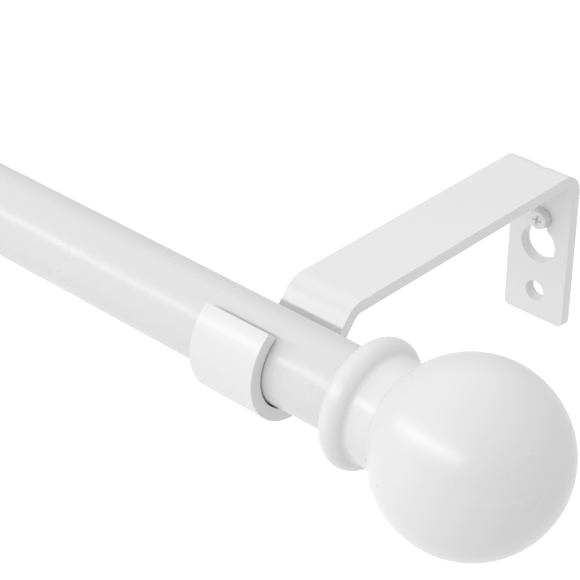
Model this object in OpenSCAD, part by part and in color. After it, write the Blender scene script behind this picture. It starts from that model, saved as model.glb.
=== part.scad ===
// Telescoping curtain rod with ball finials, held on the wall by three bent-strap brackets.
// Millimetres. +X runs along the rod towards the right-hand finial, +Y runs into the wall, +Z is up.
// The origin is the centre of the right-hand bracket's lower screw hole, at the wall surface.

/* [Layout] */
// Distance from the wall surface to the rod's axis
projection = 99; // [85:1:115]
// Height of the rod's axis above the brackets' lower screw holes
rod_rise = 30.5; // [28:0.5:34]
// Distance from one bracket to the next along the rod
bracket_pitch = 465; // [450:5:480]

/* [Rod] */
// Outer diameter of the large tube
outer_d = 19; // [18:0.1:19.2]
// Length of the large tube
outer_len = 880; // [860:5:900]
// Outer diameter of the small tube that slides inside it
inner_d = 16; // [15:0.1:16.2]
// Length of the small tube
inner_len = 880; // [700:5:900]
// Wall thickness of both tubes
tube_wall = 0.8; // [0.6:0.1:1]

/* [Bracket] */
// Width of the steel strap
strap_w = 17.5; // [15:0.5:20]
// Thickness of the steel strap
strap_t = 2.85; // [2:0.05:3]
// Height of the arm's top face above the rod's axis
arm_rise = 5.4; // [4:0.1:8]
// Outside radius of the bend at the wall
wall_bend_r = 6.3; // [5:0.1:9]
// Outside radius of the bend where the arm turns down to the cup
leg_bend_r = 5.8; // [4:0.1:7]
// Lean of the leg behind the rod, from the vertical
leg_lean = 40; // [35:1:45]
// Inside radius of the cup that the rod lies in
cup_r = 10.3; // [10.2:0.1:10.8]
// How far up the rod's front the cup reaches, from the horizontal
lip_angle = 54; // [45:1:56]
// Depth of the wall plate below the lower screw hole
plate_drop = 7.3; // [6:0.1:10]

/* [Holes] */
// Diameter of the lower screw hole
screw_hole_d = 5.3; // [4.5:0.1:6]
// Height of the keyhole's round part above the lower screw hole
key_rise = 13.3; // [12:0.1:14]
// Diameter of the keyhole's round part
key_d = 9.9; // [9:0.1:10.5]
// Width of the keyhole's slot
key_slot_w = 4.4; // [4:0.1:5]
// Diameter of the set screw's thread
set_d = 4; // [3.5:0.1:4.5]

/* [Finial] */
// Diameter of the ball
ball_d = 40.4; // [36:0.2:44]
// Largest diameter of the collar's rim
rim_d = 28.6; // [26:0.2:30]
// Diameter of the neck between the rim and the ball
neck_d = 23.4; // [22:0.2:24]
// Gap along the rod between a bracket's centre and the collar's face
collar_gap = 26.7; // [20:0.1:30]
// Diameter of the threaded stud
stud_d = 6; // [5:0.5:6]

/* [Hidden] */
$fn = 96;

white = [0.93, 0.93, 0.93];
plastic_white = [0.88, 0.88, 0.87];
zinc = [0.72, 0.73, 0.75];
brass = [0.78, 0.66, 0.38];
run_gap = 0.06;    // radial clearance of a sliding fit
skin = 0.01;       // overlap that keeps joined solids joined

right_x = 0;
centre_x = -bracket_pitch;
left_x = -2 * bracket_pitch;
rod_y = -projection;
rod_z = rod_rise;

// Strap profile, in the plane across the rod
arm_top = rod_z + arm_rise;
cup_y = rod_y + 0.4;          // the set screw pushes the rod forward in the cup
cup_z = rod_z + 0.05;
bend_z = arm_top - leg_bend_r;
bend_y = cup_y + (cup_r + leg_bend_r + (bend_z - cup_z) * sin(leg_lean)) / cos(leg_lean);
bend_steps = 12;
cup_steps = 48;
plate_corner_r = 1.2;
lip_corner_r = 0.6;
corner_inset = 0.95;          // a rounded corner's centre, as a share of its radius

// Stiffening dart pressed into the bend at the wall
dart_r = 3.5;
dart_depth = 0.3;
dart_len = 8;

// Wall screw: its shank stands in the top of the keyhole's slot, against the slot's right side
shank_r = 1.45;
screw_z = key_rise + 7.8;
screw_shift = 0.7;
screw_len = 15;
screw_tip = 4;
screw_point_r = 0.2;
head_r = 2.75;
head_h = 2.3;
head_round = 0.5;
cross_l = 3;
cross_w = 0.75;
cross_depth = 1.3;

// Set screws: headless, domed at the rod, with a hexagon socket behind
set_up = 3.9;                 // distance up the leg from where it leaves the cup
set_len = 4;
set_long = 6;
set_proud = 0.7;              // how far a tip stands out from the leg
set_proud_left = 2;
set_socket_d = 2.3;
set_socket_depth = 1.8;
recess_d = 6.4;
recess_depth = 0.5;

// Finial, measured along the rod from the collar's face
rim_edge_r = 3;
neck_len = 11.8;
socket_depth = 2.5;
fillet_r = 1;
ball_r = ball_d / 2;
ball_at = neck_len + sqrt(ball_r * ball_r - neck_d * neck_d / 4);
stud_in = 11;                 // stud length inside the rod
stud_out = neck_len + 14;     // stud length inside the finial
stud_end_gap = 0.3;           // space past the stud's end in the ball

// Rod pieces
outer_right = right_x + collar_gap + socket_depth;
outer_left = outer_right - outer_len;
inner_left = left_x - collar_gap - socket_depth;
inner_right = inner_left + inner_len;
outer_bore = outer_d / 2 - tube_wall;
inner_bore = inner_d / 2 - tube_wall;
ring_len = 2.2;
ring_lip = 0.6;
spigot_len = 10;
plug_len = 14;
plug_rim = 0.4;               // how far a plug sits inside the tube's mouth
insert_r = 4.5;
insert_len = 13;
bush_len = 18;
bush_cap = 2;

// Places children with their +Z along +X
module along_x(x) {
    translate([x, rod_y, rod_z]) rotate([0, 90, 0]) children();
}

// Extrudes a profile drawn in the Y-Z plane along X, centred on x
module across_strap(x, width) {
    translate([x - width / 2, 0, 0]) rotate([90, 0, 90]) linear_extrude(width) children();
}

// Hollow cylinder from z = 0
module sleeve(outer_r, inner_r, length) {
    difference() {
        cylinder(r = outer_r, h = length);
        translate([0, 0, -1]) cylinder(r = inner_r, h = length + 2);
    }
}

// Points along an arc in the Y-Z plane
function arc(centre, r, a0, a1, steps) =
    [for (i = [0:steps]) let (a = a0 + (a1 - a0) * i / steps) centre + r * [cos(a), sin(a)]];

// Side view of the strap: up the wall plate's back, along the arm's top, down the leg and round
// the inside of the cup, then all the way back along the other face
module strap_profile() {
    wall_c = [-wall_bend_r, arm_top - wall_bend_r];
    bend_c = [bend_y, bend_z];
    cup_c = [cup_y, cup_z];
    leg_end = 180 - leg_lean;
    lip_end = -180 - lip_angle;
    polygon(concat(
        [[0, -plate_drop]],
        arc(wall_c, wall_bend_r, 0, 90, bend_steps),
        arc(bend_c, leg_bend_r, 90, leg_end, bend_steps),
        arc(cup_c, cup_r, -leg_lean, lip_end, cup_steps),
        arc(cup_c, cup_r + strap_t, lip_end, -leg_lean, cup_steps),
        arc(bend_c, leg_bend_r - strap_t, leg_end, 90, bend_steps),
        arc(wall_c, wall_bend_r - strap_t, 90, 0, bend_steps),
        [[-strap_t, -plate_drop]]
    ));
}

// Cutter that rounds one corner of the strap's end. The corner is at the origin, the strap
// lies towards -X and +Z, and the cutter runs through it along Y.
module corner_cutter(r) {
    inset = corner_inset * r;
    difference() {
        translate([-inset, -strap_t, -1]) cube([inset + 1, 4 * strap_t, inset + 1]);
        translate([-inset, -2 * strap_t, inset]) rotate([-90, 0, 0])
            cylinder(r = r, h = 6 * strap_t);
    }
}

// Both corners of a strap end whose edge runs along X through the origin
module end_corners(r) {
    for (side = [-1, 1])
        scale([side, 1, 1]) translate([strap_w / 2, 0, 0]) corner_cutter(r);
}

// Straight bar across the bend at 45 degrees, whose near side is that far from the bend's centre
module dart_bar(near) {
    translate([0, -wall_bend_r, arm_top - wall_bend_r]) rotate([45, 0, 0])
        translate([0, 0, near + dart_r]) rotate([90, 0, 0])
            cylinder(r = dart_r, h = dart_len, center = true);
}

module keyhole() {
    translate([0, 1, key_rise]) rotate([90, 0, 0]) cylinder(d = key_d, h = strap_t + 2);
    translate([0, 1, screw_z]) rotate([90, 0, 0]) cylinder(d = key_slot_w, h = strap_t + 2);
    translate([-key_slot_w / 2, -strap_t - 1, key_rise])
        cube([key_slot_w, strap_t + 2, screw_z - key_rise]);
}

// Puts children on the leg's front face at the set screw, with +Z pointing at the rod
module at_set_screw(x) {
    translate([x, cup_y, cup_z]) rotate([-leg_lean, 0, 0]) translate([0, cup_r, set_up])
        rotate([90, 0, 0]) children();
}

module bracket(x) {
    color(white) difference() {
        union() {
            across_strap(x, strap_w) strap_profile();
            intersection() {
                translate([x, 0, 0]) dart_bar(wall_bend_r - strap_t - dart_depth);
                translate([x, -wall_bend_r, arm_top - wall_bend_r]) rotate([0, 90, 0])
                    cylinder(r = wall_bend_r - strap_t / 2, h = strap_w, center = true);
            }
        }
        translate([x, 0, 0]) {
            dart_bar(wall_bend_r - dart_depth);
            translate([0, 1, 0]) rotate([90, 0, 0]) cylinder(d = screw_hole_d, h = strap_t + 2);
            keyhole();
            translate([0, -strap_t, -plate_drop]) end_corners(plate_corner_r);
            translate([0, cup_y, cup_z]) rotate([180 - lip_angle, 0, 0])
                translate([0, cup_r, 0]) end_corners(lip_corner_r);
        }
        at_set_screw(x) {
            translate([0, 0, -strap_t - 1]) cylinder(d = set_d, h = strap_t + 2);
            translate([0, 0, -recess_depth]) cylinder(d = recess_d, h = recess_depth + 1);
        }
    }
}

module wall_screw(x) {
    color(zinc) translate([x + screw_shift, -strap_t, screw_z]) rotate([-90, 0, 0]) {
        cylinder(r = shank_r, h = screw_len - screw_tip);
        translate([0, 0, screw_len - screw_tip])
            cylinder(r1 = shank_r, r2 = screw_point_r, h = screw_tip);
        difference() {
            rotate_extrude() pan_head_profile();
            for (a = [0, 90])
                rotate([0, 0, a]) translate([-cross_l / 2, -cross_w / 2, -head_h - 1])
                    cube([cross_l, cross_w, cross_depth + 1]);
        }
    }
}

// Half of a pan head: straight edge, round shoulder and flat face
module pan_head_profile() {
    shoulder = head_r - head_round;
    translate([0, -head_h]) square([shoulder, head_h]);
    translate([0, head_round - head_h]) square([head_r, head_h - head_round]);
    translate([shoulder, head_round - head_h]) circle(head_round);
}

module set_screw(x, length, proud) {
    dome_r = set_d * 0.8;
    color(zinc) at_set_screw(x) translate([0, 0, proud]) difference() {
        intersection() {
            translate([0, 0, -length]) cylinder(r = set_d / 2 - run_gap, h = length);
            translate([0, 0, -dome_r]) rotate_extrude() set_dome_profile(dome_r, length);
        }
        translate([0, 0, -length - 1]) cylinder(d = set_socket_d, h = set_socket_depth + 1, $fn = 6);
    }
}

// Half of a long bar with a domed end
module set_dome_profile(dome_r, length) {
    intersection() {
        circle(dome_r);
        square(dome_r);
    }
    translate([0, -length]) square([dome_r, length]);
}

module outer_tube() {
    color(white) along_x(outer_left) sleeve(outer_d / 2, outer_bore, outer_len);
}

module inner_tube() {
    color(white) along_x(inner_left) sleeve(inner_d / 2, inner_bore, inner_len);
}

// Trim ring at the large tube's open end: a lip outside it and a spigot inside it
module tube_end_ring() {
    color(plastic_white) {
        along_x(outer_left - ring_len)
            sleeve(outer_d / 2 + ring_lip, inner_d / 2 + run_gap, ring_len);
        along_x(outer_left - skin) sleeve(outer_bore, inner_d / 2 + run_gap, spigot_len);
    }
}

// Cap on the small tube's hidden end, which guides it in the large tube
module guide_bush() {
    color(plastic_white) {
        along_x(inner_right - bush_len)
            sleeve(outer_bore - run_gap, inner_d / 2, bush_len);
        along_x(inner_right) cylinder(r = outer_bore - run_gap, h = bush_cap);
    }
}

// Plug pressed into a tube's end, with its threaded insert's seat through it
module end_plug(mouth_x, dir, bore) {
    color(plastic_white) translate([mouth_x, rod_y, rod_z]) rotate([0, dir * 90, 0])
        translate([0, 0, -plug_rim - plug_len]) sleeve(bore, insert_r, plug_len);
}

module plug_insert(mouth_x, dir) {
    color(brass) translate([mouth_x, rod_y, rod_z]) rotate([0, dir * 90, 0])
        translate([0, 0, -plug_rim - insert_len])
            sleeve(insert_r, stud_d / 2 + run_gap, insert_len);
}

// Puts children at a collar's face, with +Z pointing away from the rod
module at_finial(dir) {
    x = (dir > 0 ? right_x : left_x) + dir * collar_gap;
    translate([x, rod_y, rod_z]) rotate([0, dir * 90, 0]) children();
}

// Half of the collar: round rim, hollow fillet, then the neck
module collar_profile() {
    rim_r = rim_d / 2 - rim_edge_r;
    neck_r = neck_d / 2;
    step = rim_edge_r + fillet_r;
    fillet_at = rim_edge_r + sqrt(step * step - pow(neck_r + fillet_r - rim_r, 2));
    square([rim_r, neck_len]);
    translate([rim_r, rim_edge_r]) circle(rim_edge_r);
    difference() {
        translate([0, rim_edge_r]) square([neck_r + fillet_r, fillet_at - rim_edge_r]);
        translate([neck_r + fillet_r, fillet_at]) circle(fillet_r);
    }
    translate([0, fillet_at]) square([neck_r, neck_len - fillet_at]);
}

module finial_collar(dir, tube_d) {
    color(white) at_finial(dir) difference() {
        rotate_extrude() collar_profile();
        translate([0, 0, -1]) cylinder(r = stud_d / 2 + run_gap, h = neck_len + 2);
        translate([0, 0, -1]) cylinder(r = tube_d / 2 + run_gap, h = socket_depth + 1);
    }
}

module finial_ball(dir) {
    color(white) at_finial(dir) difference() {
        translate([0, 0, ball_at]) sphere(r = ball_r);
        translate([0, 0, neck_len - ball_r]) cube(2 * ball_r, center = true);
        translate([0, 0, neck_len - 1])
            cylinder(r = stud_d / 2 + run_gap, h = stud_out - neck_len + 1 + stud_end_gap);
    }
}

module finial_stud(dir) {
    color(zinc) at_finial(dir) translate([0, 0, -stud_in])
        cylinder(r = stud_d / 2, h = stud_in + stud_out);
}

bracket(right_x);  // bracket_right
bracket(centre_x);  // bracket_centre
bracket(left_x);  // bracket_left
wall_screw(right_x);  // wall_screw_right
wall_screw(centre_x);  // wall_screw_centre
wall_screw(left_x);  // wall_screw_left
set_screw(right_x, set_len, set_proud);  // set_screw_right
set_screw(centre_x, set_len, set_proud);  // set_screw_centre
set_screw(left_x, set_long, set_proud_left);  // set_screw_left
outer_tube();
tube_end_ring();
end_plug(outer_right, 1, outer_bore);  // end_plug_right
plug_insert(outer_right, 1);  // plug_insert_right
inner_tube();
guide_bush();
end_plug(inner_left, -1, inner_bore);  // end_plug_left
plug_insert(inner_left, -1);  // plug_insert_left
finial_collar(1, outer_d);  // finial_collar_right
finial_ball(1);  // finial_ball_right
finial_stud(1);  // finial_stud_right
finial_collar(-1, inner_d);  // finial_collar_left
finial_ball(-1);  // finial_ball_left
finial_stud(-1);  // finial_stud_left
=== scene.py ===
"""A white telescoping curtain rod with ball finials, lying in three bent-strap wall brackets."""

import math
from contextlib import contextmanager

import bmesh
import bpy
from mathutils import Matrix, Vector


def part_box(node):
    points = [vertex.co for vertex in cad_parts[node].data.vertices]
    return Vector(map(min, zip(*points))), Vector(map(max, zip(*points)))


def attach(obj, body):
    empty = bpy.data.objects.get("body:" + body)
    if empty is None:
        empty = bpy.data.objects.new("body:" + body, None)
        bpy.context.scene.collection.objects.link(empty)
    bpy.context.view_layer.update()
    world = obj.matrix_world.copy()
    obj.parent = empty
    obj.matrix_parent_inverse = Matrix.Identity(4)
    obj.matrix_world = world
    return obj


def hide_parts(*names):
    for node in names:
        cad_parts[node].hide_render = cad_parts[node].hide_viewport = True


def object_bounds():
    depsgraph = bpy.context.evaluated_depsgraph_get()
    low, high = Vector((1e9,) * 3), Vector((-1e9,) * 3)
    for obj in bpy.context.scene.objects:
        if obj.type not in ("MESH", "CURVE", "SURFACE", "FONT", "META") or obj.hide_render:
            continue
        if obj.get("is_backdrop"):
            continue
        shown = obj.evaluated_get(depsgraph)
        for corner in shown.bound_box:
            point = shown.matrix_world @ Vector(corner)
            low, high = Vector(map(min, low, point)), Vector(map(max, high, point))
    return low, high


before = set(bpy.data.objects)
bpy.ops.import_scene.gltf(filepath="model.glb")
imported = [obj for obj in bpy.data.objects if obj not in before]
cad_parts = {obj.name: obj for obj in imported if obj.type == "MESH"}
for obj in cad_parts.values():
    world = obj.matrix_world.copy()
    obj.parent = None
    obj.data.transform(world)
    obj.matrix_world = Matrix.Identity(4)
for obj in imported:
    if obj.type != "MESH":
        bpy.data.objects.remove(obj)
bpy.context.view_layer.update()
MM = 0.001
AXIS = 1e-5            # radius of a lathe outline's end on its axis
SAME_POINT = 1e-7      # points closer together than this are one
SQUARE = ((-1, -1), (1, -1), (1, 1), (-1, 1))


# ---------------------------------------------------------------- places, from the frame


def centre(node):
    low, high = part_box(node)
    return (low + high) / 2


ROD = centre("outer_tube")
ROD_Y, ROD_Z = ROD.y, ROD.z
SIDES = ("right", "centre", "left")
BRACKET_X = {side: centre(f"bracket_{side}").x for side in SIDES}
STRAP_LOW, STRAP_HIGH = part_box("bracket_right")
TUBE_R = (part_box("outer_tube")[1].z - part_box("outer_tube")[0].z) / 2
SMALL_R = (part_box("inner_tube")[1].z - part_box("inner_tube")[0].z) / 2
TUBE_WALL = 0.8 * MM

# the strap, as in the CAD model
STRAP_W = STRAP_HIGH.x - STRAP_LOW.x
STRAP_T = 2.85 * MM
PLATE_END = STRAP_LOW.z
WALL_BEND_R = 6.3 * MM
LEG_BEND_R = 5.8 * MM
LEG_LEAN = math.radians(40)
CUP_R = 10.3 * MM
LIP_ANGLE = math.radians(54)
ARM_TOP = ROD_Z + 5.4 * MM
CUP_Y, CUP_Z = ROD_Y + 0.4 * MM, ROD_Z + 0.05 * MM
KEY_Z, KEY_R = 13.3 * MM, 4.95 * MM
SLOT_R = 2.2 * MM
SCREW_SHIFT, SCREW_Z = 0.7 * MM, KEY_Z + 7.8 * MM
HOLE_R = 2.65 * MM
SET_R, SET_UP = 2.0 * MM, 3.9 * MM
SOCKET_R, SOCKET_DEEP, REAR_LEN = 1.12 * MM, 1.8 * MM, 0.5 * MM
RUN_GAP = 0.06 * MM     # radial clearance of a sliding fit
RECESS_R, RECESS_DEPTH = 3.2 * MM, 0.5 * MM

# the camera, from the photograph's perspective
CAM_PLACE = Vector((0.23397, -0.34144, 0.2573))
CAM_AZIMUTH, CAM_ELEVATION = math.radians(43.03), math.radians(32.28)
CAM_LENS, SENSOR = 121.64, 36.0
CLIP_NEAR, CLIP_FAR = 0.01, 200

# the studio: a soft sky that fades from side to side, and a few soft boxes over the rod
SKY_LEVEL, SKY_FADE = 0.58, Vector((0.055, 0.19, 0.335))
# (name, azimuth, elevation, distance, width, height, power)
SOFTBOXES = [
    ("back_left", -137, 55, 1.8, 1.6, 1.4, 2.7),
    ("front", -20, 20, 1.8, 2.0, 1.4, 1.7),
    ("low_front", -40, -5, 1.8, 1.2, 1.2, 1.5),
]
STRIP_PLACE, STRIP_LENGTH, STRIP_WIDTH, STRIP_POWER = (-1.22, -0.83, 0.585), 3.4, 0.06, 10.9
FLOOR_DROP, FLOOR_GLOW, FLOOR_HALF = 0.7, 0.22, 60.0
FLOOR_TONES, FLOOR_SCALE, FLOOR_ROUGH, FLOOR_SHINE = (0.7, 0.72), 1.5, 0.9, 0.1
POOL_HEIGHT, POOL_ANGLE, POOL_POWER = 2.2, math.radians(62), 62
POOL_BLEND, POOL_SOFT = 0.6, 0.3


# ---------------------------------------------------------------- mesh helpers


@contextmanager
def editing(mesh):
    """The mesh as a bmesh, written back when the block ends."""
    bm = bmesh.new()
    bm.from_mesh(mesh)
    yield bm
    bm.to_mesh(mesh)
    bm.free()


def new_object(name, data):
    obj = bpy.data.objects.new(name, data)
    bpy.context.scene.collection.objects.link(obj)
    return obj


def smooth(mesh, angle=38):
    """Shades a mesh smooth but for the edges sharper than angle degrees."""
    mesh.shade_smooth()
    mesh.set_sharp_from_angle(angle=math.radians(angle))


def weighted_normals(obj):
    mod = obj.modifiers.new("normals", "WEIGHTED_NORMAL")
    mod.keep_sharp = True
    mod.weight = 60


def finish_mesh(name, verts, faces, angle=38):
    """A smooth-shaded object from points and faces."""
    mesh = bpy.data.meshes.new(name)
    mesh.from_pydata([tuple(v) for v in verts], [], faces)
    with editing(mesh) as bm:
        bmesh.ops.remove_doubles(bm, verts=bm.verts, dist=SAME_POINT)
        bmesh.ops.recalc_face_normals(bm, faces=bm.faces)
    smooth(mesh, angle)
    obj = new_object(name, mesh)
    weighted_normals(obj)
    return obj


def rounded(points, radii, steps=5):
    """A closed outline whose corners are arcs of the given radii."""
    out = []
    count = len(points)
    for i, (point, r) in enumerate(zip(points, radii)):
        p = Vector(point)
        if r <= 0:
            out.append(p)
            continue
        a = (Vector(points[i - 1]) - p).normalized()
        b = (Vector(points[(i + 1) % count]) - p).normalized()
        half = a.angle(b) / 2
        reach = r / math.tan(half)
        mid = p + (a + b).normalized() * (r / math.sin(half))
        start, end = p + a * reach - mid, p + b * reach - mid
        turn = math.atan2(start.x * end.y - start.y * end.x, start.dot(end))
        for k in range(steps + 1):
            out.append(mid + Matrix.Rotation(turn * k / steps, 2) @ start)
    return out


def along_rod(x, direction=1):
    """A frame on the rod's axis. Its +Z points along +X, or along -X if direction is -1."""
    turn = Matrix.Rotation(direction * math.pi / 2, 4, "Y")
    return Matrix.Translation((x, ROD_Y, ROD_Z)) @ turn


def lathe(name, outline, place, segments=128, closed=True):
    """Turns an outline of (radius, height) points about the place's +Z."""
    verts, faces = [], []
    count = len(outline)
    for k in range(segments):
        a = 2 * math.pi * k / segments
        verts += [place @ Vector((r * math.cos(a), r * math.sin(a), h)) for r, h in outline]
    rows = count if closed else count - 1
    for k in range(segments):
        here, there = k * count, (k + 1) % segments * count
        for i in range(rows):
            j = (i + 1) % count
            faces.append((here + i, there + i, there + j, here + j))
    return finish_mesh(name, verts, faces)


def tube_outline(outer, inner, length, edge):
    """A tube's wall with slightly rounded ends."""
    return rounded([(inner, 0), (outer, 0), (outer, length), (inner, length)], [edge] * 4, 3)


# a thread's form, as shares of its pitch: depth, half the crest's flat, flank, and run-out at an end
THREAD_DEPTH, CREST_FLAT, FLANK_RUN, RUN_OUT = 0.55, 0.12, 0.7, 0.6


def thread_radius(phase, major, depth):
    """Radius at a phase of 0 to 1 along one pitch: a crest with slanting sides."""
    from_crest = abs(phase - 0.5) * 2
    return major - depth * min(1, max(0, (from_crest - CREST_FLAT) / FLANK_RUN))


def threaded_bar(name, place, major, pitch, start, end, taper=0.0, tip=0.0, per_turn=28, rows=8):
    """A bar with a real helical thread, which narrows to the taper over its last tip, if it has one."""
    depth, run_out = pitch * THREAD_DEPTH, pitch * RUN_OUT
    count = max(2, round((end - start) / pitch * rows))
    verts, faces = [], []
    for i in range(count + 1):
        h = start + (end - start) * i / count
        fade = min(1, (h - start) / run_out)
        if not tip:
            fade = max(0, min(fade, (end - h) / run_out))
        scale = min(1, max(taper, (end - h) / tip)) if tip else 1
        for k in range(per_turn):
            a = 2 * math.pi * k / per_turn
            r = thread_radius((h / pitch - k / per_turn) % 1, major, depth * fade) * scale
            if not tip:
                r = min(r, major - depth * 0.5 * (1 - fade))
            verts.append(place @ Vector((r * math.cos(a), r * math.sin(a), h)))
    for i in range(count):
        low, high = i * per_turn, (i + 1) * per_turn
        for k in range(per_turn):
            n = (k + 1) % per_turn
            faces.append((low + k, low + n, high + n, high + k))
    faces.append(tuple(reversed(range(per_turn))))
    faces.append(tuple(count * per_turn + k for k in range(per_turn)))
    return finish_mesh(name, verts, faces, 50)


def cut(obj, cutters):
    """Subtracts the cutters from obj and removes them."""
    for cutter in cutters:
        mod = obj.modifiers.new("cut", "BOOLEAN")
        mod.operation = "DIFFERENCE"
        mod.solver = "EXACT"
        mod.object = cutter
    bake(obj)
    for cutter in cutters:
        bpy.data.objects.remove(cutter)


def bake(obj):
    """Applies every modifier on obj."""
    depsgraph = bpy.context.evaluated_depsgraph_get()
    mesh = bpy.data.meshes.new_from_object(obj.evaluated_get(depsgraph))
    obj.modifiers.clear()
    obj.data = mesh


def prism(name, outline, z0, z1):
    """A straight prism over an outline of (x, y) points."""
    bm = bmesh.new()
    low = [bm.verts.new((x, y, z0)) for x, y in outline]
    high = [bm.verts.new((x, y, z1)) for x, y in outline]
    bm.faces.new(low[::-1])
    bm.faces.new(high)
    for i in range(len(low)):
        j = (i + 1) % len(low)
        bm.faces.new((low[i], low[j], high[j], high[i]))
    bmesh.ops.recalc_face_normals(bm, faces=bm.faces)
    mesh = bpy.data.meshes.new(name)
    bm.to_mesh(mesh)
    bm.free()
    return new_object(name, mesh)


def ring_points(cx, cy, r, a0=0.0, a1=2 * math.pi, steps=72):
    """Points round a circle, or along an arc of it with both of its ends."""
    closed = abs(a1 - a0) >= 2 * math.pi - SAME_POINT
    count = steps if closed else steps + 1
    return [
        (cx + r * math.cos(a0 + (a1 - a0) * k / steps), cy + r * math.sin(a0 + (a1 - a0) * k / steps))
        for k in range(count)
    ]


# ---------------------------------------------------------------- bracket


BEND_Z = ARM_TOP - LEG_BEND_R
BEND_Y = CUP_Y + (CUP_R + LEG_BEND_R + (BEND_Z - CUP_Z) * math.sin(LEG_LEAN)) / math.cos(LEG_LEAN)
LEG_LEN = (BEND_Y - CUP_Y) * math.sin(LEG_LEAN) + (BEND_Z - CUP_Z) * math.cos(LEG_LEAN)

# stretches of the flat strap: (name, length along it), from the wall plate's end to the lip
WALL_TURN, LEG_TURN = math.pi / 2, math.pi / 2 - LEG_LEAN
CUP_TURN = math.pi + LIP_ANGLE - LEG_LEAN
STRETCHES = [
    ("plate", ARM_TOP - WALL_BEND_R - PLATE_END),
    ("wall_bend", WALL_TURN * (WALL_BEND_R - STRAP_T / 2)),
    ("arm", -WALL_BEND_R - BEND_Y),
    ("leg_bend", LEG_TURN * (LEG_BEND_R - STRAP_T / 2)),
    ("leg", LEG_LEN),
    ("cup", CUP_TURN * (CUP_R + STRAP_T / 2)),
]
STARTS = {}
STRAP_LEN = 0.0
for stretch, length in STRETCHES:
    STARTS[stretch] = STRAP_LEN
    STRAP_LEN += length
LENGTHS = dict(STRETCHES)
# the sheared end of the lip: how much further its inner edge reaches round the rod
LIP_LEAD, LIP_LEAD_RUN = math.radians(3.5), 2 * MM


def on_strap(s, n):
    """(y, z) of the point at s along the flat strap and n below its first face, once it is bent."""
    for stretch, length in STRETCHES:
        u = s - STARTS[stretch]
        if u <= length or stretch == "cup":
            break
    share = u / length
    if stretch == "plate":
        return -n, PLATE_END + u
    if stretch == "wall_bend":
        a, r = WALL_TURN * share, WALL_BEND_R - n
        return -WALL_BEND_R + r * math.cos(a), ARM_TOP - WALL_BEND_R + r * math.sin(a)
    if stretch == "arm":
        return -WALL_BEND_R - u, ARM_TOP - n
    if stretch == "leg_bend":
        a, r = math.pi / 2 + LEG_TURN * share, LEG_BEND_R - n
        return BEND_Y + r * math.cos(a), BEND_Z + r * math.sin(a)
    if stretch == "leg":
        out = Vector((math.cos(LEG_LEAN), -math.sin(LEG_LEAN)))
        down = Vector((-math.sin(LEG_LEAN), -math.cos(LEG_LEAN)))
        p = Vector((CUP_Y, CUP_Z)) + out * (CUP_R + n) + down * (u - LEG_LEN)
        return p.x, p.y
    lead = LIP_LEAD * (1 - n / STRAP_T) * max(0, 1 - (length - u) / LIP_LEAD_RUN)
    a, r = -LEG_LEAN - CUP_TURN * share - lead, CUP_R + n
    return CUP_Y + r * math.cos(a), CUP_Z + r * math.sin(a)


SOFT_EDGE, TIGHT_EDGE, CRISP_EDGE, EDGE_STEPS = 0.42 * MM, 0.16 * MM, 0.05 * MM, 3
SHARP_FROM = math.radians(50)           # edges sharper than this are rounded
PLATE_CORNER_R, LIP_CORNER_R, CORNER_STEPS = 1.2 * MM, 0.6 * MM, 6
BEND_STEP, CUP_STEP = 0.45 * MM, 0.5 * MM   # length of the strap's facets in its curves
COAT_BUILD = 0.3 * MM                   # what the coating narrows a hole by at its back
DART_DEPTH, DART_HALF_W, DART_HALF_L = 0.3 * MM, 2.4 * MM, 4.0 * MM
DART_FALL, DART_MARGIN, DART_COLUMNS = 1.2, 1.2, 20


def dart(x, s):
    """How far the stiffening dart is pressed in at a point of the wall bend."""
    across = abs(x) / DART_HALF_W
    along = abs(s - STARTS["wall_bend"] - LENGTHS["wall_bend"] / 2) / DART_HALF_L
    if across >= 1 or along >= 1:
        return 0.0
    return DART_DEPTH * math.cos(across * math.pi / 2) ** 2 * math.cos(along * math.pi / 2) ** DART_FALL


def flat_strap():
    """The strap before bending: x across, y along, z from 0 down to its thickness."""
    half = STRAP_W / 2
    corners = [(-half, 0), (half, 0), (half, STRAP_LEN), (-half, STRAP_LEN)]
    radii = [PLATE_CORNER_R, PLATE_CORNER_R, LIP_CORNER_R, LIP_CORNER_R]
    strap = prism("strap", rounded(corners, radii, CORNER_STEPS), -STRAP_T, 0)
    with editing(strap.data) as bm:
        for s in curve_stations():
            slice_at(bm, Vector((0, s, 0)), Vector((0, 1, 0)), bm.faces)
        low, high = STARTS["wall_bend"] - SAME_POINT, STARTS["arm"] + SAME_POINT
        reach = DART_HALF_W * DART_MARGIN
        for k in range(1, DART_COLUMNS):
            x = -reach + 2 * reach * k / DART_COLUMNS
            bend_faces = [f for f in bm.faces if low < f.calc_center_median().y < high]
            slice_at(bm, Vector((x, 0, 0)), Vector((1, 0, 0)), bend_faces)
    return strap


def curve_stations():
    """Where the flat strap is cut across, so that it can bend."""
    stations = []
    for stretch, step in (("wall_bend", BEND_STEP), ("leg_bend", BEND_STEP), ("cup", CUP_STEP)):
        count = round(LENGTHS[stretch] / step)
        stations += [STARTS[stretch] + LENGTHS[stretch] * k / count for k in range(count + 1)]
    return [s for s in stations if LIP_CORNER_R < s < STRAP_LEN - LIP_CORNER_R]


def slice_at(bm, point, normal, faces):
    """Cuts the faces along a plane without taking anything away."""
    faces = list(faces)
    edges = {e for f in faces for e in f.edges}
    verts = {v for f in faces for v in f.verts}
    geometry = list(verts) + list(edges) + faces
    bmesh.ops.bisect_plane(bm, geom=geometry, dist=SAME_POINT, plane_co=point, plane_no=normal)


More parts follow.
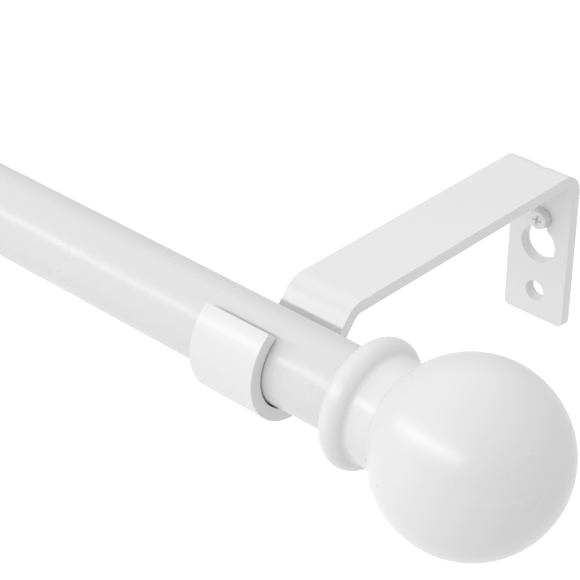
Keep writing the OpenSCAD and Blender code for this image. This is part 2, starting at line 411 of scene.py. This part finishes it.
def keyhole_outline(shrink):
    """The keyhole on the flat strap, its edge moved in by shrink."""
    key_r, slot_r = KEY_R - shrink, SLOT_R - shrink
    meet = math.asin(slot_r / key_r)
    middle = KEY_Z - PLATE_END
    outline = ring_points(0, middle, key_r, math.pi / 2 + meet, 2.5 * math.pi - meet, 72)
    return outline + ring_points(0, SCREW_Z - PLATE_END, slot_r, 0, math.pi, 24)


def hole_cutter(name, outline_at):
    """Cuts through the wall plate. The coating narrows the hole towards its back."""
    front, back = -STRAP_T - MM, MM
    rings = []
    for z in (front, back):
        outline = outline_at(COAT_BUILD * (z + STRAP_T) / STRAP_T)
        rings.append([Vector((x, y, z)) for x, y in outline])
    return loft(name, rings)


def edge_round(s, first_face):
    """Rounding of the strap's long edges, which are soft where they show and tight in the cup."""
    if s < STARTS["wall_bend"]:
        return TIGHT_EDGE if first_face else SOFT_EDGE
    if s < STARTS["arm"]:
        share = (s - STARTS["wall_bend"]) / LENGTHS["wall_bend"]
        rising = TIGHT_EDGE + (SOFT_EDGE - TIGHT_EDGE) * share
        return rising if first_face else SOFT_EDGE + TIGHT_EDGE - rising
    if s < STARTS["leg_bend"]:
        return SOFT_EDGE if first_face else TIGHT_EDGE
    if s < STARTS["leg"]:
        share = (s - STARTS["leg_bend"]) / LENGTHS["leg_bend"]
        return SOFT_EDGE + (TIGHT_EDGE - SOFT_EDGE) * share if first_face else TIGHT_EDGE
    return CRISP_EDGE if first_face and s > STARTS["cup"] else TIGHT_EDGE


def round_strap_edges(strap):
    """Rounds every sharp edge of the flat strap by its own amount."""
    with editing(strap.data) as bm:
        weight = bm.edges.layers.float.new("bevel_weight_edge")
        for edge in bm.edges:
            if edge.calc_face_angle(0) > SHARP_FROM:
                middle = (edge.verts[0].co + edge.verts[1].co) / 2
                edge[weight] = edge_round(middle.y, middle.z > -STRAP_T / 2) / SOFT_EDGE
    bevel = strap.modifiers.new("edge", "BEVEL")
    bevel.width = SOFT_EDGE
    bevel.segments = EDGE_STEPS
    bevel.limit_method = "WEIGHT"
    bake(strap)


def bracket(side):
    """One strap, cut and rounded while flat, and then bent along its stretches."""
    strap = flat_strap()
    deep, high = -STRAP_T - MM, MM
    set_s = STARTS["leg"] + LEG_LEN - SET_UP
    cut(strap, [
        hole_cutter("cut_key", keyhole_outline),
        hole_cutter("cut_hole", lambda shrink: ring_points(0, -PLATE_END, HOLE_R - shrink)),
        prism("cut_set", ring_points(0, set_s, SET_R, steps=48), deep, high),
        prism("cut_recess", ring_points(0, set_s, RECESS_R), -RECESS_DEPTH, high),
    ])
    round_strap_edges(strap)
    for v in strap.data.vertices:
        press = dart(v.co.x, v.co.y)
        y, z = on_strap(v.co.y, -v.co.z + press)
        v.co = (v.co.x + BRACKET_X[side], y, z)
    with editing(strap.data) as bm:
        bmesh.ops.recalc_face_normals(bm, faces=bm.faces)
    smooth(strap.data, 35)
    strap.name = f"strap_{side}"
    weighted_normals(strap)
    return strap


# ---------------------------------------------------------------- screws


SHANK_R, SHANK_TOP, SCREW_PITCH, SCREW_POINT = 1.45 * MM, 0.2 * MM, 1.3 * MM, 0.12
SCREW_LEN, SCREW_TIP = 15 * MM, 4 * MM
HEAD_R, HEAD_H, HEAD_ROUND, HEAD_TAPER = 2.75 * MM, 2.3 * MM, 0.35 * MM, 0.3 * MM
HEAD_UNDER, HEAD_DOME, HEAD_EDGE, HEAD_WELD = 0.1 * MM, 0.08 * MM, 0.06 * MM, 0.003 * MM
CROSS_HALF_L, CROSS_HALF_W, CROSS_DEPTH, CROSS_CLEAR = 1.35 * MM, 0.32 * MM, 0.8 * MM, 0.3 * MM
CROSS_FLOOR_L, CROSS_FLOOR_W = 0.4 * CROSS_HALF_L, 0.7 * CROSS_HALF_W
CROSS_TURN = math.radians(6)


def pan_head(name, place):
    """A pan head from height 0 towards -Z: tapering side, round shoulder, faintly domed face."""
    shoulder = HEAD_R - HEAD_TAPER - HEAD_ROUND
    round_steps, face_steps = 10, 8
    outline = [(AXIS, 0), (HEAD_R - HEAD_UNDER, 0), (HEAD_R, -HEAD_UNDER)]
    for k in range(round_steps + 1):
        a = math.pi / 2 * k / round_steps
        out, down = HEAD_ROUND * math.cos(a), HEAD_ROUND * math.sin(a)
        outline.append((shoulder + out, HEAD_ROUND + HEAD_DOME - HEAD_H - down))
    for k in range(1, face_steps + 1):
        r = shoulder * (1 - k / face_steps)
        outline.append((max(AXIS, r), -HEAD_H + HEAD_DOME * (r / shoulder) ** 2))
    head = lathe(name, outline, Matrix.Identity(4), 72)
    cut(head, [cross_cutter(f"cross_{swap}", swap) for swap in (False, True)])
    soften(head, HEAD_EDGE)
    weld(head, HEAD_WELD)
    head.data.transform(place)
    smooth(head.data, 40)
    weighted_normals(head)
    return head


def cross_cutter(name, swap):
    """One slot of the cross recess, narrowing towards its floor."""
    above, floor = -HEAD_H - CROSS_CLEAR, CROSS_DEPTH - HEAD_H
    wide, narrow = (CROSS_HALF_L, CROSS_HALF_W), (CROSS_FLOOR_L, CROSS_FLOOR_W)
    rings = []
    for (length, width), z in ((wide, above), (wide, -HEAD_H), (narrow, floor)):
        half_x, half_y = (width, length) if swap else (length, width)
        rings.append([Vector((sx * half_x, sy * half_y, z)) for sx, sy in SQUARE])
    return loft(name, rings)


def soften(obj, width, angle=40):
    """Takes a flat off obj's sharp edges."""
    bevel = obj.modifiers.new("edge", "BEVEL")
    bevel.width = width
    bevel.segments = 1
    bevel.limit_method = "ANGLE"
    bevel.angle_limit = math.radians(angle)
    bake(obj)


def weld(obj, distance):
    """Merges the points of obj that lie closer together than distance."""
    with editing(obj.data) as bm:
        bmesh.ops.remove_doubles(bm, verts=bm.verts, dist=distance)
        bmesh.ops.dissolve_degenerate(bm, edges=bm.edges, dist=distance)


def loft(name, rings):
    """A closed solid over rings of points, one above the other."""
    verts = [v for ring in rings for v in ring]
    size = len(rings[0])
    faces = [tuple(reversed(range(size))), tuple((len(rings) - 1) * size + k for k in range(size))]
    for i in range(len(rings) - 1):
        low, high = i * size, (i + 1) * size
        for k in range(size):
            n = (k + 1) % size
            faces.append((low + k, low + n, high + n, high + k))
    mesh = bpy.data.meshes.new(name)
    mesh.from_pydata([tuple(v) for v in verts], [], faces)
    with editing(mesh) as bm:
        bmesh.ops.recalc_face_normals(bm, faces=bm.faces)
    return new_object(name, mesh)


def wall_screw(side):
    """The head and the threaded shank of the screw in the keyhole's slot."""
    spot = Vector((BRACKET_X[side] + SCREW_SHIFT, -STRAP_T, SCREW_Z))
    place = Matrix.Translation(spot) @ Matrix.Rotation(-math.pi / 2, 4, "X")
    head = pan_head(f"screw_head_{side}", place @ Matrix.Rotation(CROSS_TURN, 4, "Z"))
    shank = threaded_bar(
        f"screw_thread_{side}", place, SHANK_R, SCREW_PITCH, SHANK_TOP, SCREW_LEN,
        taper=SCREW_POINT, tip=SCREW_TIP,
    )
    return head, shank


SET_PITCH, SET_TIP_GAP, SET_REAR_GAP, SET_CAP = 0.7 * MM, 0.1 * MM, 0.25 * MM, 0.5 * MM
# shares of the set screw's radius: its tip's dome, the tip's and the rear's edge; and a socket's slack
SET_DOME, SET_TIP_R, SET_REAR_R, SOCKET_SLACK = 1.6, 0.93, 0.94, 1.03
SET_REAR_ROUND = [0.05 * MM, 0.25 * MM, 0, 0]


def at_set_screw(side, out):
    """A frame on the leg's face at the set screw, with +Z at the rod, moved out along it."""
    lean = Matrix.Translation((BRACKET_X[side], CUP_Y, CUP_Z)) @ Matrix.Rotation(-LEG_LEAN, 4, "X")
    face = Matrix.Translation((0, CUP_R, SET_UP)) @ Matrix.Rotation(math.pi / 2, 4, "X")
    return lean @ face @ Matrix.Translation((0, 0, out))


def set_screw(side, length, proud):
    """A headless screw: threaded body, domed tip at the rod, and a hexagon socket in its rear."""
    place = at_set_screw(side, proud)
    r = SET_R - RUN_GAP
    dome, tip_r, rear_r = SET_DOME * r, SET_TIP_R * r, SET_REAR_R * r
    start, end = SET_REAR_GAP - length, math.sqrt(dome ** 2 - r ** 2) - dome - SET_TIP_GAP
    body = threaded_bar(f"set_thread_{side}", place, r, SET_PITCH, start, end, rows=9)
    cap = [(AXIS, end - SET_CAP), (tip_r, end - SET_CAP)]
    dome_steps = 12
    for k in range(dome_steps + 1):
        a = math.asin(tip_r / dome) * (1 - k / dome_steps)
        cap.append((max(AXIS, dome * math.sin(a)), dome * math.cos(a) - dome))
    tip = lathe(f"set_tip_{side}", cap, place, 48)
    back, front = -length, REAR_LEN - length
    rim = [(SOCKET_R, back), (rear_r, back), (rear_r, front), (SOCKET_R, front)]
    rear = lathe(f"set_rear_{side}", rounded(rim, SET_REAR_ROUND, 3), place, 48)
    hexagon = ring_points(0, 0, SOCKET_R * SOCKET_SLACK, steps=6)
    cutter = prism("cut_socket", hexagon, -length - MM, SOCKET_DEEP - length)
    cutter.data.transform(place)
    cut(body, [cutter])
    smooth(body.data, 50)
    return body, tip, rear


# ---------------------------------------------------------------- rod and finials


TUBE_EDGE = 0.2 * MM
RING_LIP, RING_ROUND = 2.2 * MM, [0.4 * MM, 0.8 * MM, 0.2 * MM, 0, 0.15 * MM, 0.15 * MM]
BUSH_CAP, BUSH_ROUND = 2 * MM, [0, 0.4 * MM, 0.6 * MM, 0, 0, 0.1 * MM]
INSERT_R, INSERT_BORE_R = 4.5 * MM, 3.06 * MM
PLUG_ROUND = [0.2 * MM, 0.3 * MM, 0.5 * MM, 0.3 * MM]
INSERT_ROUND = [0.15 * MM, 0.15 * MM, 0.3 * MM, 0.45 * MM]


def tube(name, node, radius):
    low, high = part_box(node)
    outline = tube_outline(radius, radius - TUBE_WALL, high.x - low.x, TUBE_EDGE)
    return lathe(name, outline, along_rod(low.x), 160)


def end_ring():
    """The trim ring: a lip over the large tube's end and a spigot inside it."""
    low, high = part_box("tube_end_ring")
    length, lip_r = high.x - low.x, (high.z - low.z) / 2
    bore, spigot = SMALL_R + RUN_GAP, TUBE_R - TUBE_WALL
    corners = [
        (bore, 0), (lip_r, 0), (lip_r, RING_LIP), (spigot, RING_LIP), (spigot, length), (bore, length),
    ]
    return lathe("end_ring", rounded(corners, RING_ROUND, 5), along_rod(low.x), 128)


def guide_bush():
    """The cup that closes the small tube's hidden end and slides in the large tube."""
    low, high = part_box("guide_bush")
    length, outer = high.x - low.x, (high.z - low.z) / 2
    floor = length - BUSH_CAP
    corners = [
        (SMALL_R, 0), (outer, 0), (outer, length), (AXIS, length), (AXIS, floor), (SMALL_R, floor),
    ]
    return lathe("guide_cap", rounded(corners, BUSH_ROUND, 4), along_rod(low.x), 96)


def sleeve(name, node, side, bore, outer, round_by, segments):
    """A sleeve as long as its node, with its first end towards the rod's middle."""
    low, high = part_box(node)
    direction, start = (1, low.x) if side == "right" else (-1, high.x)
    length = high.x - low.x
    corners = [(bore, 0), (outer, 0), (outer, length), (bore, length)]
    return lathe(name, rounded(corners, round_by, 4), along_rod(start, direction), segments)


def end_plug(side):
    low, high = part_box(f"end_plug_{side}")
    outer = (high.z - low.z) / 2
    return sleeve(f"plug_{side}", f"end_plug_{side}", side, INSERT_R, outer, PLUG_ROUND, 96)


def plug_insert(side):
    node = f"plug_insert_{side}"
    return sleeve(f"insert_{side}", node, side, INSERT_BORE_R, INSERT_R, INSERT_ROUND, 72)


RIM_R, RIM_EDGE, NECK_R, NECK_LEN = 14.3 * MM, 3.0 * MM, 11.7 * MM, 11.8 * MM
FILLET, SOCKET_DEPTH, STUD_R = 1.0 * MM, 2.5 * MM, 3.0 * MM
SOCKET_FLARE, SEAM = 0.15 * MM, 0.03 * MM
STUD_IN, STUD_REACH, STUD_END_GAP, STUD_PITCH = 11 * MM, 14 * MM, 0.3 * MM, 1.0 * MM
BALL_R = (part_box("finial_ball_right")[1].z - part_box("finial_ball_right")[0].z) / 2


def finial_place(side):
    low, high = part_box(f"finial_collar_{side}")
    return along_rod(low.x, 1) if side == "right" else along_rod(high.x, -1)


def collar(side, tube_r):
    """Rounded rim, hollow fillet and neck, with the socket that the tube's end stands in."""
    rim_c = RIM_R - RIM_EDGE
    reach = NECK_R + FILLET - rim_c
    fillet_h = RIM_EDGE + math.sqrt((RIM_EDGE + FILLET) ** 2 - reach ** 2)
    meet = math.atan2(reach, fillet_h - RIM_EDGE)
    bore, mouth, flare = STUD_R + RUN_GAP, tube_r + RUN_GAP, SOCKET_FLARE
    floor = SOCKET_DEPTH + SEAM
    outline = [(bore, floor), (mouth, floor), (mouth, flare), (mouth + flare, 0)]
    rim_steps, fillet_steps = 32, 8
    for k in range(rim_steps + 1):
        a = -math.pi / 2 + (math.pi - meet) * k / rim_steps
        outline.append((rim_c + RIM_EDGE * math.cos(a), RIM_EDGE + RIM_EDGE * math.sin(a)))
    for k in range(1, fillet_steps + 1):
        a = -math.pi / 2 - meet - (math.pi / 2 - meet) * k / fillet_steps
        outline.append((NECK_R + FILLET + FILLET * math.cos(a), fillet_h + FILLET * math.sin(a)))
    outline += [(NECK_R, NECK_LEN - SEAM), (NECK_R - SEAM, NECK_LEN), (bore, NECK_LEN)]
    return lathe(f"collar_{side}", outline, finial_place(side), 160)


def ball(side):
    """A ball with a flat where the neck meets it, bored for the stud."""
    middle = NECK_LEN + math.sqrt(BALL_R ** 2 - NECK_R ** 2)
    start = math.asin(NECK_R / BALL_R)
    bore, floor = STUD_R + RUN_GAP, NECK_LEN + STUD_REACH + STUD_END_GAP
    outline = [(bore, floor), (bore, NECK_LEN), (NECK_R - SEAM, NECK_LEN)]
    steps = 72
    for k in range(steps + 1):
        a = start + (math.pi - start) * k / steps
        outline.append((max(AXIS, BALL_R * math.sin(a)), middle - BALL_R * math.cos(a)))
    outline.append((AXIS, floor))
    return lathe(f"ball_{side}", outline, finial_place(side), 160)


def stud(side):
    start, end = -STUD_IN, NECK_LEN + STUD_REACH
    return threaded_bar(f"stud_{side}", finial_place(side), STUD_R, STUD_PITCH, start, end, rows=7)


# ---------------------------------------------------------------- materials


# the range of a noise's factor that tones and gloss are spread over
NOISE_LOW, NOISE_HIGH = 0.3, 0.7
# noise scales, per metre, of a coat's cloudy tone, its gloss, its orange peel and its grain
CLOUD_SCALE, GLOSS_SCALE, PEEL_SCALE, GRAIN_SCALE = 22, 60, 320, 1400
CLOUD_SHADE, PEEL_DEPTH, GRAIN_DEPTH = 0.975, 0.06 * MM, 0.02 * MM
TUBE_GRAIN_SCALE, TUBE_GRAIN_DEPTH = 2300, 0.04 * MM
LATHE_SCALE, LATHE_STRENGTH, LATHE_DEPTH = 1100, 0.5, 0.06 * MM


def grey(tone):
    return (tone, tone, tone)


def node_tree(name):
    mat = bpy.data.materials.new(name)
    mat.use_nodes = True
    tree = mat.node_tree
    shader = tree.nodes["Principled BSDF"]
    return mat, tree, shader


def link(tree, a, out, b, socket):
    tree.links.new(a.outputs[out], b.inputs[socket])


def noise(tree, scale, detail=3.0, rough=0.5):
    coords = tree.nodes.new("ShaderNodeTexCoord")
    node = tree.nodes.new("ShaderNodeTexNoise")
    node.inputs["Scale"].default_value = scale
    node.inputs["Detail"].default_value = detail
    node.inputs["Roughness"].default_value = rough
    link(tree, coords, "Object", node, "Vector")
    return node


def spread(tree, node, low, high):
    """Maps a noise node's factor to the range low..high."""
    out = tree.nodes.new("ShaderNodeMapRange")
    out.inputs["From Min"].default_value = NOISE_LOW
    out.inputs["From Max"].default_value = NOISE_HIGH
    out.inputs["To Min"].default_value = low
    out.inputs["To Max"].default_value = high
    link(tree, node, "Fac", out, "Value")
    return out


def tint(tree, node, dark, light):
    """Maps a noise node's factor to the colours dark..light."""
    ramp = tree.nodes.new("ShaderNodeValToRGB")
    ramp.color_ramp.elements[0].position = NOISE_LOW
    ramp.color_ramp.elements[1].position = NOISE_HIGH
    ramp.color_ramp.elements[0].color = (*dark, 1)
    ramp.color_ramp.elements[1].color = (*light, 1)
    link(tree, node, "Fac", ramp, "Fac")
    return ramp


def bump(tree, shader, layers):
    """Stacks bump layers of (node, output, strength, distance)."""
    last = None
    for node, out, strength, distance in layers:
        layer = tree.nodes.new("ShaderNodeBump")
        layer.inputs["Strength"].default_value = strength
        layer.inputs["Distance"].default_value = distance
        link(tree, node, out, layer, "Height")
        if last:
            link(tree, last, "Normal", layer, "Normal")
        last = layer
    link(tree, last, "Normal", shader, "Normal")


def enamel(name, tone, rough, peel, grain_scale=GRAIN_SCALE, grain_depth=GRAIN_DEPTH):
    """Sprayed white enamel: faint orange peel and grain, cloudy tone and gloss."""
    mat, tree, shader = node_tree(name)
    cloud = tint(tree, noise(tree, CLOUD_SCALE, 4), grey(CLOUD_SHADE * tone), grey(tone))
    link(tree, cloud, "Color", shader, "Base Color")
    gloss = spread(tree, noise(tree, GLOSS_SCALE, 3), rough - 0.03, rough + 0.04)
    link(tree, gloss, "Result", shader, "Roughness")
    broad = noise(tree, PEEL_SCALE, 2, 0.4)
    fine = noise(tree, grain_scale, 2, 0.6)
    bump(tree, shader, [(broad, "Fac", peel, PEEL_DEPTH), (fine, "Fac", peel, grain_depth)])
    shader.inputs["Specular IOR Level"].default_value = 0.5
    return mat


def turned(mat):
    """Adds the faint rings that a lathe leaves, which run round the rod's axis."""
    tree = mat.node_tree
    shader = tree.nodes["Principled BSDF"]
    coords = tree.nodes.new("ShaderNodeTexCoord")
    axis = tree.nodes.new("ShaderNodeSeparateXYZ")
    rings = tree.nodes.new("ShaderNodeTexNoise")
    rings.noise_dimensions = "1D"
    rings.inputs["Scale"].default_value = LATHE_SCALE
    rings.inputs["Detail"].default_value = 2
    link(tree, coords, "Object", axis, "Vector")
    link(tree, axis, "X", rings, "W")
    layer = tree.nodes.new("ShaderNodeBump")
    layer.inputs["Strength"].default_value = LATHE_STRENGTH
    layer.inputs["Distance"].default_value = LATHE_DEPTH
    old = shader.inputs["Normal"].links[0].from_node
    link(tree, rings, "Fac", layer, "Height")
    link(tree, old, "Normal", layer, "Normal")
    link(tree, layer, "Normal", shader, "Normal")
    return mat


def plastic(name, light):
    """Moulded plastic: a matt, finely grained surface."""
    shade, tone_scale, gloss_scale, grain_scale, grain_depth = 0.96, 30, 90, 2600, 0.03 * MM
    mat, tree, shader = node_tree(name)
    tone = tint(tree, noise(tree, tone_scale, 3), tuple(c * shade for c in light), light)
    link(tree, tone, "Color", shader, "Base Color")
    gloss = spread(tree, noise(tree, gloss_scale, 2), 0.42, 0.55)
    link(tree, gloss, "Result", shader, "Roughness")
    bump(tree, shader, [(noise(tree, grain_scale, 2, 0.7), "Fac", 0.25, grain_depth)])
    return mat


def zinc(name):
    """Bright zinc plate with a fine spangle."""
    dark, light = (0.52, 0.53, 0.55), (0.72, 0.73, 0.75)
    spangle_scale, gloss_scale, grain_scale, grain_depth = 500, 900, 1800, 0.03 * MM
    mat, tree, shader = node_tree(name)
    tone = tint(tree, noise(tree, spangle_scale, 4, 0.65), dark, light)
    link(tree, tone, "Color", shader, "Base Color")
    gloss = spread(tree, noise(tree, gloss_scale, 3), 0.22, 0.4)
    link(tree, gloss, "Result", shader, "Roughness")
    shader.inputs["Metallic"].default_value = 1.0
    bump(tree, shader, [(noise(tree, grain_scale, 3, 0.7), "Fac", 0.2, grain_depth)])
    return mat


def brass(name):
    """Turned brass with faint stains."""
    dark, light = (0.5, 0.34, 0.12), (0.72, 0.53, 0.24)
    stain_scale, gloss_scale, grain_scale, grain_depth = 200, 600, 2400, 0.02 * MM
    mat, tree, shader = node_tree(name)
    tone = tint(tree, noise(tree, stain_scale, 4, 0.6), dark, light)
    link(tree, tone, "Color", shader, "Base Color")
    gloss = spread(tree, noise(tree, gloss_scale, 3), 0.25, 0.42)
    link(tree, gloss, "Result", shader, "Roughness")
    shader.inputs["Metallic"].default_value = 1.0
    bump(tree, shader, [(noise(tree, grain_scale, 2, 0.7), "Fac", 0.2, grain_depth)])
    return mat


def coat(mat, slot, body, node, *objs):
    """Gives pieces their material and body, and hides the CAD node they stand for."""
    for obj in objs:
        obj.data.materials.clear()
        obj.data.materials.append(mat)
        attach(obj, body)
        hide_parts(node)


# enamel takes a tone, a roughness and the strength of its orange peel
STEEL_WHITE = enamel("enamel_steel", 0.745, 0.33, 0.5)
TUBE_WHITE = enamel("enamel_tube", 0.67, 0.3, 0.9, TUBE_GRAIN_SCALE, TUBE_GRAIN_DEPTH)
FINIAL_WHITE = enamel("enamel_finial", 0.73, 0.29, 0.15)
COLLAR_WHITE = turned(enamel("enamel_collar", 0.73, 0.31, 0.15))
PLASTIC_WHITE = plastic("plastic_white", (0.7, 0.7, 0.69))
ZINC = zinc("zinc_plate")
BRASS = brass("insert_brass")
SCREW_WHITE = enamel("enamel_screw", 0.73, 0.3, 0.2)
SET_LONG, SET_SHORT = (6 * MM, 2 * MM), (4 * MM, 0.7 * MM)

for side in SIDES:
    coat(STEEL_WHITE, "white_steel", "wall_brackets", f"bracket_{side}", bracket(side))
    head, shank = wall_screw(side)
    coat(SCREW_WHITE, "screw_steel", "wall_brackets", f"wall_screw_{side}", head)
    coat(ZINC, "screw_steel", "wall_brackets", f"wall_screw_{side}", shank)
    length, proud = SET_LONG if side == "left" else SET_SHORT
    coat(ZINC, "screw_steel", f"set_screw_{side}", f"set_screw_{side}", *set_screw(side, length, proud))

large_shell = tube("large_tube_shell", "outer_tube", TUBE_R)
coat(TUBE_WHITE, "white_steel", "large_tube", "outer_tube", large_shell)
small_shell = tube("small_tube_shell", "inner_tube", SMALL_R)
coat(TUBE_WHITE, "white_steel", "small_tube", "inner_tube", small_shell)
coat(PLASTIC_WHITE, "white_plastic", "large_tube", "tube_end_ring", end_ring())
coat(PLASTIC_WHITE, "white_plastic", "small_tube", "guide_bush", guide_bush())
for side, body, tube_r in (("right", "large_tube", TUBE_R), ("left", "small_tube", SMALL_R)):
    coat(PLASTIC_WHITE, "white_plastic", body, f"end_plug_{side}", end_plug(side))
    coat(BRASS, "insert_brass", body, f"plug_insert_{side}", plug_insert(side))
    coat(COLLAR_WHITE, "white_finial", f"finial_{side}", f"finial_collar_{side}", collar(side, tube_r))
    coat(FINIAL_WHITE, "white_finial", f"finial_{side}", f"finial_ball_{side}", ball(side))
    coat(ZINC, "screw_steel", f"finial_{side}_thread", f"finial_stud_{side}", stud(side))


# ---------------------------------------------------------------- stage, light and camera


def stage_floor():
    """A plain pale floor well below the rod."""
    low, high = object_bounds()
    middle, z = (low + high) / 2, low.z - FLOOR_DROP
    corners = [(middle.x + sx * FLOOR_HALF, middle.y + sy * FLOOR_HALF, z) for sx, sy in SQUARE]
    mesh = bpy.data.meshes.new("floor")
    mesh.from_pydata(corners, [], [(0, 1, 2, 3)])
    floor = new_object("floor", mesh)
    mat, tree, shader = node_tree("floor_white")
    dark, light = FLOOR_TONES
    tone = tint(tree, noise(tree, FLOOR_SCALE, 2), grey(dark), grey(light))
    link(tree, tone, "Color", shader, "Base Color")
    shader.inputs["Roughness"].default_value = FLOOR_ROUGH
    shader.inputs["Specular IOR Level"].default_value = FLOOR_SHINE
    shader.inputs["Emission Color"].default_value = (1, 1, 1, 1)
    shader.inputs["Emission Strength"].default_value = FLOOR_GLOW
    floor.data.materials.append(mat)
    floor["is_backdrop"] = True


def outward(azimuth, elevation):
    """The unit vector away from the object at these angles, where azimuth 0 is -Y."""
    flat = math.cos(elevation)
    return Vector((math.sin(azimuth) * flat, -math.cos(azimuth) * flat, math.sin(elevation)))


def area_light(name, place, target, size_x, size_y, power):
    """A rectangular soft light at place that faces target."""
    data = bpy.data.lights.new(name, "AREA")
    data.shape = "RECTANGLE"
    data.size, data.size_y = size_x, size_y
    data.energy = power
    light = new_object(name, data)
    light.location = place
    light.rotation_euler = (Vector(target) - Vector(place)).to_track_quat("-Z", "Y").to_euler()
    return light


def soft_sky():
    """A white sky of strength SKY_LEVEL plus the dot product of the direction and SKY_FADE."""
    world = bpy.data.worlds.new("studio")
    bpy.context.scene.world = world
    world.use_nodes = True
    tree = world.node_tree
    sky = tree.nodes["Background"]
    sky.inputs["Color"].default_value = (1, 1, 1, 1)
    way = tree.nodes.new("ShaderNodeTexCoord")
    fade = tree.nodes.new("ShaderNodeVectorMath")
    fade.operation = "DOT_PRODUCT"
    fade.inputs[1].default_value = SKY_FADE
    level = tree.nodes.new("ShaderNodeMath")
    level.operation = "ADD"
    level.inputs[1].default_value = SKY_LEVEL
    link(tree, way, "Generated", fade, 0)
    link(tree, fade, "Value", level, 0)
    link(tree, level, "Value", sky, "Strength")


def studio():
    """All the lights: sky, soft boxes, a long strip beside the rod, and the pool on the floor."""
    soft_sky()
    target = Vector((0, ROD_Y, ROD_Z))
    for name, azimuth, elevation, distance, wide, tall, power in SOFTBOXES:
        away = outward(math.radians(azimuth), math.radians(elevation))
        area_light(name, target + away * distance, target, wide, tall, power)
    place = target + Vector(STRIP_PLACE)
    strip = area_light("strip", place, target, STRIP_LENGTH, STRIP_WIDTH, STRIP_POWER)
    back = -Vector((0, STRIP_PLACE[1], STRIP_PLACE[2])).normalized()
    strip.rotation_euler = back.to_track_quat("-Z", "Y").to_euler()
    pool_of_light()


def pool_of_light():
    """Lights the stretch of floor behind the rod that the camera looks down on."""
    floor_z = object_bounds()[0].z - FLOOR_DROP
    reach = (CAM_PLACE.z - floor_z) / math.tan(CAM_ELEVATION)
    spot = bpy.data.lights.new("pool", "SPOT")
    spot.energy, spot.spot_size = POOL_POWER, POOL_ANGLE
    spot.spot_blend, spot.shadow_soft_size = POOL_BLEND, POOL_SOFT
    light = new_object("pool", spot)
    ahead = Vector((-math.sin(CAM_AZIMUTH), math.cos(CAM_AZIMUTH), 0))
    place = CAM_PLACE + ahead * reach
    light.location = (place.x, place.y, floor_z + POOL_HEIGHT)


def photo_camera():
    """The camera that the photograph was taken with, as fitted to its edges."""
    data = bpy.data.cameras.new("camera")
    data.lens, data.sensor_width = CAM_LENS, SENSOR
    data.clip_start, data.clip_end = CLIP_NEAR, CLIP_FAR
    cam = new_object("camera", data)
    cam.location = CAM_PLACE
    cam.rotation_mode = "QUATERNION"
    cam.rotation_quaternion = (-outward(CAM_AZIMUTH, CAM_ELEVATION)).to_track_quat("-Z", "Y")
    bpy.context.scene.camera = cam


stage_floor()
studio()
photo_camera()
bpy.context.scene.view_settings.view_transform = "Standard"
